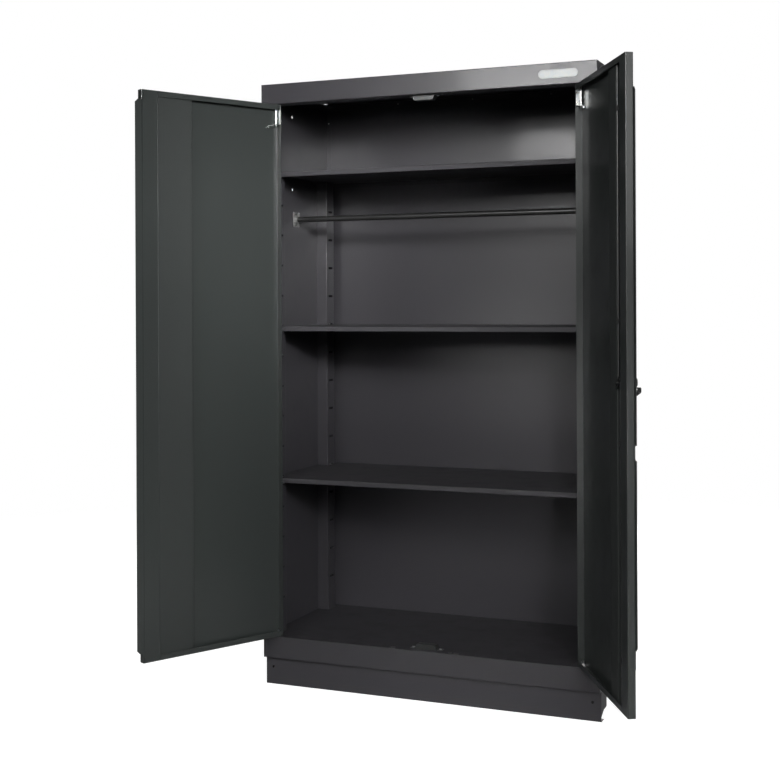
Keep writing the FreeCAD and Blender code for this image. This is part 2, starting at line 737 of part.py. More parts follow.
# Catches, glides, sockets and badge
def make_catch(seat_z, way):
    """Magnetic door catch: a screwed plate with a block, standing up or hanging down."""
    y0 = FRONT + DOOR_THICK + CATCH_GAP
    y1 = y0 + CATCH_DEPTH
    low, high = sorted((seat_z, seat_z + way * CATCH_PLATE))
    half = CATCH_PLATE_WIDTH / 2
    plate = prism([(-half, y0), (half, y0), (half, y1), (-half, y1)], "xy", low, high, [CATCH_CORNER] * 4)
    half = CATCH_WIDTH / 2
    end = half - CATCH_SLANT
    top = seat_z + way * CATCH_HEIGHT
    outline = [(-half, seat_z), (half, seat_z), (end, top), (-end, top)]
    block = prism(outline, "xz", y0, y1, [0, 0, CATCH_CORNER, CATCH_CORNER])
    seats = catch_screw_seats(seat_z + way * CATCH_PLATE)
    return cut(join(plate, block), *[screw_hole(seat, UP * way, CATCH_PLATE) for seat in seats])


def make_glide():
    """Left moulded glide on the rail's front edge, under the free corner of the shut door."""
    y = FRONT + GLIDE_FROM_EDGE
    back = y + GLIDE_DEPTH
    top = DOOR_LOW - GLIDE_GAP
    outline = [(y, RAIL_TOP), (back, RAIL_TOP), (back, top), (y, top)]
    half = GLIDE_WIDTH / 2
    return prism(outline, "yz", -GLIDE_AT - half, -GLIDE_AT + half, [0, 0, GLIDE_ROUND, GLIDE_ROUND])


def flanged_bush(mouth, way, bore, wall, flange, flange_height, sleeve):
    """Bush whose sleeve runs into a sheet from its mouth, with a flange before the sheet."""
    body = rod(mouth - way * flange_height, way, bore + wall + flange, flange_height)
    body = join(body, rod(mouth, way, bore + wall, sleeve))
    return cut(body, rod(mouth - way * (flange_height + 1), way, bore, flange_height + sleeve + 2))


def make_rod_socket(place):
    point, way = place
    bore = ROD_R + SOCKET_PLAY
    return flanged_bush(point, way, bore, SOCKET_WALL, BUSH_FLANGE, BUSH_FLANGE_H, BUSH_SLEEVE)


def socket_hole(place):
    point, way = place
    return rod(point - way, way, ROD_R + SOCKET_PLAY + SOCKET_WALL + SEAT_FIT, SHEET + 2)


def make_badge():
    """Blank plate on the fascia."""
    x = -LEFT - BADGE_INSET
    z = BODY_HEIGHT - FASCIA_HEIGHT / 2
    half = BADGE_WIDTH / 2
    rise = BADGE_HEIGHT / 2
    outline = [(x - half, z - rise), (x + half, z - rise), (x + half, z + rise), (x - half, z + rise)]
    return prism(outline, "xz", FRONT - BADGE_THICK, FRONT, [BADGE_CORNER] * 4)


# Hinge pieces on the carcass
def make_top_bush():
    mouth = Vector(PIVOT_X, PIVOT_Y, FASCIA_Z)
    return flanged_bush(mouth, UP, PIN_R + RUN_FIT, BUSH_WALL, BUSH_FLANGE, BUSH_FLANGE_H, BUSH_SLEEVE)


def make_low_pin():
    """Pivot pin standing in the floor panel, with a collar that carries the door."""
    seat = Vector(PIVOT_X, PIVOT_Y, RAIL_TOP)
    pin = rod(seat - UP * LOW_PIN_ROOT, UP, PIN_R, LOW_PIN_ROOT + DOOR_GAP + LOW_PIN_RISE)
    tip = max(pin.Edges, key=lambda edge: edge.BoundBox.ZMin)
    pin = pin.makeChamfer(PIN_R / 4, [tip])
    return join(pin, rod(seat, UP, LOW_COLLAR_D / 2, LOW_COLLAR_H))


# Door pieces, in the door's flat frame
PIVOT_LINE = Vector(PIVOT_U, PIVOT_V, 0)


def hang(shape, side):
    """Carry a piece from the flat frame to its place on the open door at a side, -1 or 1."""
    hung = shape.translated(Vector(LEFT + HINGE_EDGE, FRONT, 0))
    angle = LEFT_OPEN_ANGLE
    if side > 0:
        hung = mirrored(hung)
        angle = RIGHT_OPEN_ANGLE
    return hung.rotated(Vector(-side * PIVOT_X, PIVOT_Y, 0), UP, side * angle)


def make_door_pan(with_lock):
    """Door skin with its four walls, top and bottom lips and the wide flange at the free edge."""
    path = [
        (0, DOOR_THICK),
        (0, 0),
        (DOOR_WIDTH, 0),
        (DOOR_WIDTH, DOOR_THICK),
        (DOOR_WIDTH - FREE_FLANGE, DOOR_THICK),
    ]
    pan = sheet(path, "xy", DOOR_LOW, DOOR_TOP)
    outline = [(0, DOOR_THICK), (0, 0), (DOOR_WIDTH, 0), (DOOR_WIDTH, DOOR_THICK)]
    corners = [0, SHEET + BEND, SHEET + BEND, SHEET + BEND]
    lip_end = DOOR_WIDTH - FREE_FLANGE - LIP_GAP
    for edge, way in ((DOOR_TOP, -1), (DOOR_LOW, 1)):
        low, high = sorted((edge, edge + way * SHEET))
        wall = prism(outline, "xy", low, high, corners)
        low, high = sorted((edge, edge + way * DOOR_LIP))
        lip = box(SHEET + LIP_GAP, lip_end, DOOR_THICK - SHEET, DOOR_THICK, low, high)
        pan = join(pan, wall, lip)
    holes = [
        rod(PIVOT_LINE + UP * (DOOR_TOP - SHEET - 1), UP, PIN_R + BEARING_GAP, SHEET + 2),
        rod(PIVOT_LINE + UP * (DOOR_LOW - 1), UP, BUSH_R + SEAT_FIT, SHEET + 2),
    ]
    if with_lock:
        for u, z in ((LOCK_U - ROD_OFFSET, DOOR_TOP), (LOCK_U + ROD_OFFSET, DOOR_LOW)):
            holes.append(rod(Vector(u, ROD_V, z - 2 * SHEET), UP, ROD_R + ROD_FIT, 4 * SHEET))
        holes.append(rod(lock_point(-1), INWARD, BARREL_D / 2 + SEAT_FIT, SHEET + 2))
    return cut(pan, *holes)


def make_stiffener(channel, with_lock):
    """Hat-shaped stiffener on the skin, clear of the free flange by a channel."""
    base = 2 * SHEET
    crown = SHEET + STIFFENER_HEIGHT
    near = DOOR_WIDTH - STIFFENER_OUTER
    far = DOOR_WIDTH - FREE_FLANGE - channel
    path = [
        (far + STIFFENER_FOOT, base),
        (far, base),
        (far, crown),
        (near, crown),
        (near, base),
        (near - STIFFENER_FOOT, base),
    ]
    gap = SHEET + STIFFENER_END_GAP
    hat = sheet(path, "xy", DOOR_LOW + gap, DOOR_TOP - gap)
    if not with_lock:
        return hat
    return cut(hat, rod(lock_point(0), INWARD, LOCK_NUT_AF / math.sqrt(3) + 1, SHEET + LOCK_NUT_H))


def make_hinge_bracket():
    """Plated bracket on the hinge wall, with an upper and a lower tab for the pin."""
    top = DOOR_TOP - SHEET - BRACKET_TOP_GAP
    path = [
        (SHEET + BRACKET_TAB, top),
        (SHEET, top),
        (SHEET, top - BRACKET_HEIGHT),
        (SHEET + BRACKET_TAB, top - BRACKET_HEIGHT),
    ]
    v = SHEET + BEND
    bracket = sheet(path, "xz", v, v + BRACKET_WIDTH, thick=BRACKET_SHEET, bend=BRACKET_SHEET)
    bore = rod(PIVOT_LINE + UP * (top - BRACKET_HEIGHT - 1), UP, PIN_R + RUN_FIT, BRACKET_HEIGHT + 2)
    return cut(bracket, bore)


def spring_seat():
    """Upper face of the bracket's lower tab, on the pin's line."""
    return PIVOT_LINE + UP * (DOOR_TOP - SHEET - BRACKET_TOP_GAP - BRACKET_HEIGHT + BRACKET_SHEET)


def make_hinge_pin():
    """Sprung pin that enters the fascia, with a collar for the spring and a bent tail to pull it."""
    tip = DOOR_TOP + DOOR_GAP + PIN_ENGAGE
    corner = PIVOT_LINE + UP * (spring_seat().z - BRACKET_SHEET - SEAT_FIT - PIN_BEND)
    end = corner + Vector(PIN_BEND + PIN_TAIL, 0, 0)
    pin = bent_bar([PIVOT_LINE + UP * tip, corner, end], PIN_R, PIN_BEND)
    collar = rod(spring_seat() + UP * SPRING_LENGTH, UP, PIN_R + SPRING_PIN_GAP + SPRING_WIRE, COLLAR_H)
    return join(pin, collar)


def halfway(start, along, end):
    """Middle of the arc that leaves a point in a direction and ends at another point."""
    chord = end - start
    flat = Vector(chord).normalize()
    side = (along - flat * along.dot(flat)).normalize()
    rise = chord.Length / 2 * math.tan(along.getAngle(chord) / 2)
    return start + chord * 0.5 + side * rise


def biarc(p0, t0, p1, t1):
    """Two tangent arcs between two points with given directions."""
    gap = p1 - p0
    a = 2 * (1 - t0.dot(t1))
    b = 2 * gap.dot(t0 + t1)
    reach = (-b + math.sqrt(b * b + 4 * a * gap.dot(gap))) / (2 * a)
    joint = (p0 + t0 * reach + p1 - t1 * reach) * 0.5
    first = Part.Arc(p0, halfway(p0, t0, joint), joint)
    second = Part.Arc(joint, halfway(p1, t1 * -1, joint), p1)
    return [first.toShape(), second.toShape()]


def make_spring():
    """Open coil spring round the pin, standing on the bracket's lower tab."""
    radius = PIN_R + SPRING_PIN_GAP + SPRING_WIRE / 2
    pitch = (SPRING_LENGTH - SPRING_WIRE - 2 * SEAT_FIT) / SPRING_TURNS
    foot = spring_seat() + UP * (SPRING_WIRE / 2 + SEAT_FIT)
    rise = pitch / (2 * math.pi)

    def point(angle):
        return foot + Vector(radius * math.cos(angle), radius * math.sin(angle), rise * angle)

    def heading(angle):
        return Vector(-radius * math.sin(angle), radius * math.cos(angle), rise).normalize()

    edges = []
    for quarter in range(4 * SPRING_TURNS):
        a0 = quarter * math.pi / 2
        a1 = a0 + math.pi / 2
        edges += biarc(point(a0), heading(a0), point(a1), heading(a1))
    ring = Part.Wire(Part.makeCircle(SPRING_WIRE / 2, point(0), heading(0)))
    turn = [point(step * math.pi / 24) for step in range(48 * SPRING_TURNS)]
    least = min((p - q).Length for i, p in enumerate(turn) for q in turn[i + 24:])
    print("spring: least gap between turns %.2f mm" % (least - SPRING_WIRE))
    return Part.Wire(edges).makePipeShell([ring], True, False)


def make_door_bush():
    """Bush in the door's bottom wall, standing just above the pivot pin's collar."""
    flange = DOOR_GAP - LOW_COLLAR_H - BEARING_GAP
    mouth = PIVOT_LINE + UP * DOOR_LOW
    return flanged_bush(mouth, UP, PIN_R + RUN_FIT, BUSH_WALL, BUSH_FLANGE, flange, BUSH_SLEEVE)


def strip_corners(edge, low, high):
    """Waste that leaves a chamfer at the two free corners of an overlap strip."""
    waste = []
    for end, way in ((low, 1), (high, -1)):
        outline = [(edge - STRIP_CHAMFER, end), (edge, end + way * STRIP_CHAMFER), (edge + 1, end - way)]
        waste.append(prism(outline, "xz", -DOOR_THICK, 2 * DOOR_THICK))
    return waste


def make_inner_strip():
    """Strip on the left door's flange that lies behind the right door when both are shut."""
    v = DOOR_THICK
    path = [
        (DOOR_WIDTH - STRIP_BASE, v),
        (DOOR_WIDTH - DOOR_GAP, v),
        (DOOR_WIDTH + DOOR_GAP / 3, v + STRIP_JOGGLE),
        (DOOR_WIDTH + INNER_STRIP_PROUD, v + STRIP_JOGGLE),
    ]
    low = DOOR_LOW + INNER_STRIP_END
    high = DOOR_TOP - INNER_STRIP_END
    strip = sheet(path, "xy", low, high, thick=STRIP_SHEET)
    return cut(strip, *strip_corners(DOOR_WIDTH + INNER_STRIP_PROUD, low, high))


def make_outer_strip():
    """Strip on the right door's face that lies over the left door when both are shut."""
    path = [
        (DOOR_WIDTH + OUTER_STRIP_PROUD, -STRIP_JOGGLE),
        (DOOR_WIDTH + DOOR_GAP / 3, -STRIP_JOGGLE),
        (DOOR_WIDTH - DOOR_GAP, 0),
        (DOOR_WIDTH - STRIP_BASE, 0),
    ]
    low = DOOR_LOW + OUTER_STRIP_BOTTOM
    high = DOOR_TOP - OUTER_STRIP_TOP
    strip = sheet(path, "xy", low, high, thick=STRIP_SHEET)
    edge = DOOR_WIDTH + OUTER_STRIP_PROUD
    outline = [
        (edge - FINGER_NOTCH_DEPTH, FINGER_NOTCH_Z - FINGER_NOTCH_H / 2),
        (edge + 1, FINGER_NOTCH_Z - FINGER_NOTCH_H / 2),
        (edge + 1, FINGER_NOTCH_Z + FINGER_NOTCH_H / 2),
        (edge - FINGER_NOTCH_DEPTH, FINGER_NOTCH_Z + FINGER_NOTCH_H / 2),
    ]
    rounding = FINGER_NOTCH_DEPTH / 3
    notch = prism(outline, "xz", -2 * STRIP_SHEET, STRIP_SHEET, [rounding, 0, 0, rounding])
    # below the step only the base that lies on the door is left
    step = low + OUTER_STRIP_STEP
    outline = [(DOOR_WIDTH - DOOR_GAP, low - 1), (edge + 1, low - 1), (edge + 1, step), (DOOR_WIDTH - DOOR_GAP, step)]
    stepped = prism(outline, "xz", -2 * STRIP_SHEET, STRIP_SHEET)
    return cut(strip, notch, stepped, *strip_corners(edge, step, high))


# Lock pieces, in the right door's flat frame
def lock_point(v):
    return Vector(LOCK_U, v, LOCK_Z)


def make_escutcheon():
    """Round rose with the threaded barrel that goes through the skin."""
    rose = rod(lock_point(-ROSE_H), INWARD, ROSE_D / 2, ROSE_H)
    rim = min((e for e in rose.Edges if len(e.Vertexes) == 1), key=lambda edge: edge.BoundBox.YMax)
    rose = rose.makeFillet(ROSE_H / 2, [rim])
    barrel = rod(lock_point(-ROSE_H / 2), INWARD, BARREL_D / 2, ROSE_H / 2 + BARREL_LENGTH)
    bore = rod(lock_point(-ROSE_H - 1), INWARD, SPINDLE_D / 2 + RUN_FIT, ROSE_H + BARREL_LENGTH + 2)
    return cut(join(rose, barrel), bore)


def make_lock_nut():
    nut = hexagon(lock_point(SHEET), INWARD, LOCK_NUT_AF, LOCK_NUT_H)
    return cut(nut, rod(lock_point(0), INWARD, BARREL_D / 2 + SEAT_FIT, SHEET + LOCK_NUT_H + 1))


def make_handle():
    """Turning handle: hub with the key plug's bore, drop lever with an eye, and the spindle."""
    back = ROSE_H + BEARING_GAP
    hub = rod(lock_point(-HUB_PROUD), INWARD, HUB_D / 2, HUB_PROUD - back)
    rim = min((e for e in hub.Edges if len(e.Vertexes) == 1), key=lambda edge: edge.BoundBox.YMax)
    hub = hub.makeFillet(HUB_ROUND, [rim])
    shoulder = LOCK_Z - LEVER_SHOULDER
    outline = [
        (-LEVER_CLEAR, LOCK_Z),
        (-LEVER_SADDLE, LOCK_Z),
        (-LEVER_SADDLE, shoulder),
        (-LEVER_PROUD, shoulder),
        (-LEVER_PROUD, LOCK_Z - LEVER_SLOPE),
        (-LEVER_TIP, LOCK_Z - LEVER_DROP),
        (-LEVER_CLEAR, LOCK_Z - LEVER_DROP),
    ]
    half = LEVER_WIDTH / 2
    lever = prism(outline, "yz", LOCK_U - half, LOCK_U + half, LEVER_CORNERS)
    flat = [edge for edge in lever.Edges if edge.BoundBox.XLength < MATCH]
    low = [edge for edge in flat if edge.BoundBox.ZMax < shoulder + MATCH]
    rims = [edge for edge in low if edge.BoundBox.YMax < -LEVER_CLEAR - MATCH]
    lever = lever.makeFillet(LEVER_ROUND, rims)
    turn = rod(lock_point(-back - 1), INWARD, SPINDLE_D / 2, back + 1 + BARREL_LENGTH + BEARING_GAP)
    square = SPINDLE_SQUARE / 2
    end = CAM_V + CAM_PLATE - SEAT_FIT
    drive = box(LOCK_U - square, LOCK_U + square, BARREL_LENGTH, end, LOCK_Z - square, LOCK_Z + square)
    handle = join(hub, lever, turn, drive)
    eye_start = Vector(LOCK_U - half - 1, -EYE_PROUD, LOCK_Z - EYE_DROP)
    eye = rod(eye_start, Vector(1, 0, 0), EYE_D / 2, LEVER_WIDTH + 2)
    plug = rod(lock_point(-HUB_PROUD - 1), INWARD, PLUG_D / 2 + RUN_FIT, PLUG_DEPTH + 1)
    thread = rod(lock_point(end), INWARD * -1, SCREW_SHANK_D / 2 + SCREW_HOLE_PLAY, SCREW_SHANK_L + 1)
    return cut(handle, eye, plug, thread)


def make_key_plug():
    """Round key plug with its keyway."""
    front = -HUB_PROUD - PLUG_PROUD
    plug = rod(lock_point(front), INWARD, PLUG_D / 2, PLUG_PROUD + PLUG_DEPTH - SEAT_FIT)
    x = KEYWAY_WIDTH / 2
    z = KEYWAY_HEIGHT / 2
    return cut(plug, box(LOCK_U - x, LOCK_U + x, front - 1, front + KEYWAY_DEPTH, LOCK_Z - z, LOCK_Z + z))


def make_cam():
    """Cam on the square of the spindle, with a slot each side for the rods' hooks."""
    def bar(reach_in, reach_out, half_width, v0, v1):
        ends = [
            (LOCK_U + reach_in, LOCK_Z - half_width),
            (LOCK_U + reach_out, LOCK_Z - half_width),
            (LOCK_U + reach_out, LOCK_Z + half_width),
            (LOCK_U + reach_in, LOCK_Z + half_width),
        ]
        return prism(ends, "xz", v0, v1, [half_width * 0.98] * 4)

    back = CAM_V + CAM_PLATE
    cam = bar(-CAM_REACH, CAM_REACH, CAM_WIDTH / 2, CAM_V, back)
    half = ROD_R + CAM_SLOT_PLAY
    near = ROD_OFFSET - half
    far = ROD_OFFSET * math.sqrt(2) + half
    slots = [bar(near, far, half, CAM_V - 1, back + 1), bar(-far, -near, half, CAM_V - 1, back + 1)]
    square = SPINDLE_SQUARE / 2 + SEAT_FIT
    hole = box(LOCK_U - square, LOCK_U + square, CAM_V - 1, back + 1, LOCK_Z - square, LOCK_Z + square)
    unlocked = cut(cam, *slots).rotated(lock_point(0), INWARD, -45)
    return cut(unlocked, hole)


def make_lock_rod(way):
    """Upper rod, way 1, or lower rod, way -1, drawn back, with its hook in the cam."""
    u = LOCK_U - way * ROD_OFFSET
    end = DOOR_TOP if way > 0 else DOOR_LOW
    hook = LOCK_Z - way * ROD_OFFSET
    tip = Vector(u, ROD_V, end - way * ROD_END_GAP)
    return bent_bar([tip, Vector(u, ROD_V, hook), Vector(u, ROD_HOOK_V, hook)], ROD_R, ROD_BEND)


def make_rod_guides():
    """Two guides for each rod: the upper rod's stand on the stiffener's foot, the lower's on the skin."""
    guides = []
    for way, base, end in ((1, 2 * SHEET, DOOR_TOP), (-1, SHEET, DOOR_LOW)):
        u = LOCK_U - way * ROD_OFFSET
        for z in (end - way * GUIDE_FROM_END, LOCK_Z + way * GUIDE_FROM_LOCK):
            low = z - GUIDE_LENGTH / 2
            block = box(u - GUIDE_HALF, u + GUIDE_HALF, base, ROD_V + GUIDE_HALF, low, low + GUIDE_LENGTH)
            guides.append(cut(block, rod(Vector(u, ROD_V, low - 1), UP, ROD_R + ROD_FIT, GUIDE_LENGTH + 2)))
    return guides


# All pieces by name; a list is a group of like pieces
def all_pieces():
    side_panel = make_side_panel()
    legs_left = [make_leg(*leg) for leg in legs()]
    feet = [make_foot(foot_axis(face, way)) for face, way, _ in legs()]
    nuts = [make_foot_nut(foot_axis(face, way)) for face, way, _ in legs()]
    bolts = [make_leg_bolt(seat) for seat in leg_bolt_seats()]
    front_upright, rear_upright = [make_upright(face) for face in upright_walls()]
    clips = [make_clip(face, z) for face in upright_walls() for z in (SHELF_LOW_Z, MID_SHELF_Z)]
    rail_bracket = make_rail_bracket()
    long_screw = make_screw(SCREW_SHANK_L)
    rail_screw = make_screw(RAIL_BRACKET_SHEET + SHEET)
    rail_screws = [placed(rail_screw, seat, Vector(1, 0, 0)) for seat in rail_screw_seats()]
    catch_screws = [placed(long_screw, seat, UP) for seat in catch_screw_seats(RAIL_TOP + CATCH_PLATE)]
    catch_screws += [placed(long_screw, seat, UP * -1) for seat in catch_screw_seats(FASCIA_Z - CATCH_PLATE)]

    def pairs(shapes):
        return [piece for shape in shapes for piece in both_sides(shape)]

    pieces = {
        "left_side_panel": side_panel,
        "right_side_panel": mirrored(side_panel),
        "top_panel": make_top_panel(),
        "floor_panel": make_floor_panel(),
        "back_panel": make_back_panel(),
        "back_screws": [placed(long_screw, seat, INWARD) for seat in back_screw_seats()],
        "plinth": make_plinth(),
        "plinth_screws": pairs([placed(long_screw, plinth_screw_seat(), INWARD * -1)]),
        "leg_brackets": pairs(legs_left),
        "leg_bolts": pairs(bolts),
        "foot_nuts": pairs(nuts),
        "front_left_foot": feet[0],
        "front_right_foot": mirrored(feet[0]),
        "rear_left_foot": feet[1],
        "rear_right_foot": mirrored(feet[1]),
        "front_left_upright": front_upright,
        "front_right_upright": mirrored(front_upright),
        "rear_left_upright": rear_upright,
        "rear_right_upright": mirrored(rear_upright),
        "top_shelf": make_shelf(TOP_SHELF_Z, False),
        "middle_shelf": make_shelf(MID_SHELF_Z, True),
        "lower_shelf": make_shelf(SHELF_LOW_Z, True),
        "shelf_clips": pairs(clips),
        "hanging_rail": make_rail_tube(),
        "left_rail_bracket": rail_bracket,
        "right_rail_bracket": mirrored(rail_bracket),
        "rail_screws": pairs(rail_screws),
        "bottom_catch": make_catch(RAIL_TOP, 1),
        "top_catch": make_catch(FASCIA_Z, -1),
        "catch_screws": catch_screws,
        "door_glides": pairs([make_glide()]),
        "badge_plate": make_badge(),
        "top_hinge_bushes": pairs([make_top_bush()]),
        "bottom_pivot_pins": pairs([make_low_pin()]),
        "rod_sockets": [make_rod_socket(place) for place in rod_socket_places()],
    }
    on_each_door = {
        "hinge_bracket": make_hinge_bracket(),
        "hinge_pin": make_hinge_pin(),
        "pin_spring": make_spring(),
        "bottom_bush": make_door_bush(),
    }
    for side, name in ((-1, "left"), (1, "right")):
        for piece, shape in on_each_door.items():
            pieces[name + "_" + piece] = hang(shape, side)
    on_left_door = {
        "left_door_pan": make_door_pan(False),
        "left_door_stiffener": make_stiffener(LEFT_CHANNEL, False),
        "left_overlap_strip": make_inner_strip(),
    }
    on_right_door = {
        "right_door_pan": make_door_pan(True),
        "right_door_stiffener": make_stiffener(ROD_CHANNEL, True),
        "right_overlap_strip": make_outer_strip(),
        "lock_escutcheon": make_escutcheon(),
        "lock_nut": make_lock_nut(),
        "lock_handle": make_handle(),
        "key_plug": make_key_plug(),
        "lock_cam": make_cam(),
        "cam_screw": placed(long_screw, lock_point(CAM_V + CAM_PLATE), INWARD),
        "upper_lock_rod": make_lock_rod(1),
        "lower_lock_rod": make_lock_rod(-1),
    }
    for name, shape in on_left_door.items():
        pieces[name] = hang(shape, -1)
    for name, shape in on_right_door.items():
        pieces[name] = hang(shape, 1)
    pieces["rod_guides"] = [hang(guide, 1) for guide in make_rod_guides()]
    return pieces


os.makedirs("parts", exist_ok=True)
for name, shape in all_pieces().items():
    solid = Part.makeCompound(shape) if isinstance(shape, list) else shape
    solid.exportStep("parts/" + name + ".step")
    print(name, len(solid.Solids), "solid(s), valid" if solid.isValid() else "solid(s), NOT VALID")
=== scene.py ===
# %% [markdown]
# # A double-door workshop cabinet
# The cabinet is folded sheet steel under a dark satin powder coat. Its shapes come from the
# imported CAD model, which is loaded here as a fixed frame: every object sits at the origin with
# its place in its mesh, in metres. Blender adds the finishes, a few small pieces that steel
# drawings leave plain, the studio and the camera.

# %% Load the frame
import json
import math

import bmesh
import bpy
from mathutils import Matrix, Vector


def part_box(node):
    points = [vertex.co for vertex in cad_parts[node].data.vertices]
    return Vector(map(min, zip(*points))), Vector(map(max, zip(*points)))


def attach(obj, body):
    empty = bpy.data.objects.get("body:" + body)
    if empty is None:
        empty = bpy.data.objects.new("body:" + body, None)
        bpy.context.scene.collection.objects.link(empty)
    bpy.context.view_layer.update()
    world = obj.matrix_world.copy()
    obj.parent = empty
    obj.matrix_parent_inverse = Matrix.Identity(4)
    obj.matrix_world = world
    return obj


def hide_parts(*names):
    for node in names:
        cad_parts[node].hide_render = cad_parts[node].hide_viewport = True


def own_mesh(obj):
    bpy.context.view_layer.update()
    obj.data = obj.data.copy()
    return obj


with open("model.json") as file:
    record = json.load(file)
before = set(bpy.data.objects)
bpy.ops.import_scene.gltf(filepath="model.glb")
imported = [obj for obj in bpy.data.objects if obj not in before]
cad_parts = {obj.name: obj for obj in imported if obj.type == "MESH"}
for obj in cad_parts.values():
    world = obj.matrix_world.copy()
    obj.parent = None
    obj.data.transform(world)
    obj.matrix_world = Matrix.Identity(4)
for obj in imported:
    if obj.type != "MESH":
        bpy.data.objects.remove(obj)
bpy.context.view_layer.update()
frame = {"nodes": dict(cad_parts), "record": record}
nodes = frame["nodes"]

# %% [markdown]
# ## Camera
# The picture was taken with the lens level, so upright edges stay parallel, and the frame was
# then cut lower than the lens's middle. A camera that is tilted down would make the uprights lean
# together. A level one with a downward shift keeps them parallel, so that is used. The place and
# the focal length were worked out from the cabinet's own corners.

# %% Camera
PICTURE_LONG_SIDE = 781  # pixels
LENS_PIXELS = 1328.527  # focal length, in pixels of the picture
MIDDLE_DROP = 85.5  # pixels from the lens's middle down to the picture's middle
SENSOR = 36.0  # millimetres
CAMERA_PLACE = Vector((1.37416, -3.56948, 1.13731))
YAW, PITCH, ROLL = (math.radians(angle) for angle in (22.5913, 0.0055, -0.2533))

level_ahead = Vector((-math.sin(YAW), math.cos(YAW), 0))
level_right = Vector((math.cos(YAW), math.sin(YAW), 0))
ahead = math.cos(PITCH) * level_ahead + math.sin(PITCH) * Vector((0, 0, 1))
upright = math.cos(PITCH) * Vector((0, 0, 1)) - math.sin(PITCH) * level_ahead
to_right = math.cos(ROLL) * level_right + math.sin(ROLL) * upright
to_top = math.cos(ROLL) * upright - math.sin(ROLL) * level_right

lens = bpy.data.cameras.new("catalogue_lens")
lens.sensor_width = SENSOR
lens.lens = LENS_PIXELS / PICTURE_LONG_SIDE * SENSOR
lens.shift_y = -MIDDLE_DROP / PICTURE_LONG_SIDE
camera = bpy.data.objects.new("catalogue_camera", lens)
turn = Matrix((to_right, to_top, -ahead)).transposed().to_4x4()
camera.matrix_world = Matrix.Translation(CAMERA_PLACE) @ turn
bpy.context.scene.collection.objects.link(camera)
bpy.context.scene.camera = camera
print("lens", round(lens.lens, 2), "mm, shift", round(lens.shift_y, 4))

# %% [markdown]
# ## Shader maths
# A material could be wired box by box, but it is easier to read as arithmetic. One small class
# wraps a socket: plus, minus and times add Math nodes, and `new` adds any other node, with its
# settings first and its sockets after. The Mix node has a pair of inputs for each kind of value,
# all with the same names, so the pair for colours is reached by number.

# %% A socket that reads as a number
MIX_FIRST, MIX_SECOND, MIX_COLOUR = 6, 7, 2
NOISE_MIDDLE = 0.5


class Flow:
    """A socket of a node tree that takes part in arithmetic."""

    def __init__(self, tree, socket):
        self.tree, self.socket = tree, socket

    def new(self, kind, settings=None, sockets=None, out=0):
        """Adds a node and gives back the output that is asked for, if it has any."""
        node = self.tree.nodes.new(kind)
        for name, value in (settings or {}).items():
            setattr(node, name, value)
        for name, value in (sockets or {}).items():
            if isinstance(value, Flow):
                self.tree.links.new(value.socket, node.inputs[name])
            else:
                node.inputs[name].default_value = value
        return Flow(self.tree, node.outputs[out]) if node.outputs else None

    def maths(self, operation, *values):
        return self.new("ShaderNodeMath", {"operation": operation}, dict(enumerate(values)))

    def __add__(self, other):
        return self.maths("ADD", self, other)

    def __sub__(self, other):
        return self.maths("SUBTRACT", self, other)

    def __rsub__(self, other):
        return self.maths("SUBTRACT", other, self)

    def __mul__(self, other):
        return self.maths("MULTIPLY", self, other)

    __radd__, __rmul__ = __add__, __mul__

    def between(self, low, high):
        """0 below low, 1 above high, smooth in between."""
        limits = {"Value": self, "From Min": low, "From Max": high}
        return self.new("ShaderNodeMapRange", {"interpolation_type": "SMOOTHSTEP"}, limits)

    def noise(self, size, detail=2.0):
        """Soft blotches of about this size in metres, as a number around NOISE_MIDDLE."""
        return self.new("ShaderNodeTexNoise", {}, {"Vector": self, "Scale": 1 / size, "Detail": detail})

    def stretched(self, scale):
        """The same place with each axis scaled, so that a pattern on it is drawn out or packed."""
        return self.new("ShaderNodeMapping", {}, {"Vector": self, "Scale": scale})

    def tint(self, first, second):
        """A colour from first to second as this number goes from 0 to 1."""
        colours = {"Factor": self, MIX_FIRST: first, MIX_SECOND: second}
        return self.new("ShaderNodeMix", {"data_type": "RGBA"}, colours, out=MIX_COLOUR)


def linear(shade, *others):
    """An sRGB grey or colour of 0 to 255 as the linear colour that a socket takes."""
    parts = (shade, *others) if others else (shade,) * 3
    return [((p / 255 + 0.055) / 1.055) ** 2.4 if p > 10 else p / 255 / 12.92 for p in parts] + [1.0]


print("a grey of 128 is", round(linear(128)[0], 3), "in linear light")

# %% [markdown]
# ## What every finish shares
# Each finish starts from Object coordinates, which are metres on the real cabinet, and ends in
# one shader with a fine relief. On all of the cabinet's pieces, edges look a little different
# from flats. They could be painted by hand, but the Bevel node finds them: where it rounds the
# normal, that normal leans away from the real one.

# %% Start and close a finish
EDGE_SAMPLES = 4
LEAN_START, LEAN_FULL = 0.02, 0.25


def start_finish(name):
    """An empty material and the place on the object, in metres."""
    finish = bpy.data.materials.new(name)
    finish.use_nodes = True
    tree = finish.node_tree
    tree.nodes.clear()
    return finish, Flow(tree, tree.nodes.new("ShaderNodeTexCoord").outputs["Object"])


def close_finish(place, height, depth, strength, **sockets):
    """Joins a relief, in metres of depth, and the other sockets to one shader."""
    relief = {"Height": height, "Distance": depth, "Strength": strength}
    named = {name.replace("_", " "): value for name, value in sockets.items()}
    named["Normal"] = place.new("ShaderNodeBump", {}, relief)
    shader = place.new("ShaderNodeBsdfPrincipled", {}, named)
    place.new("ShaderNodeOutputMaterial", {}, {"Surface": shader})


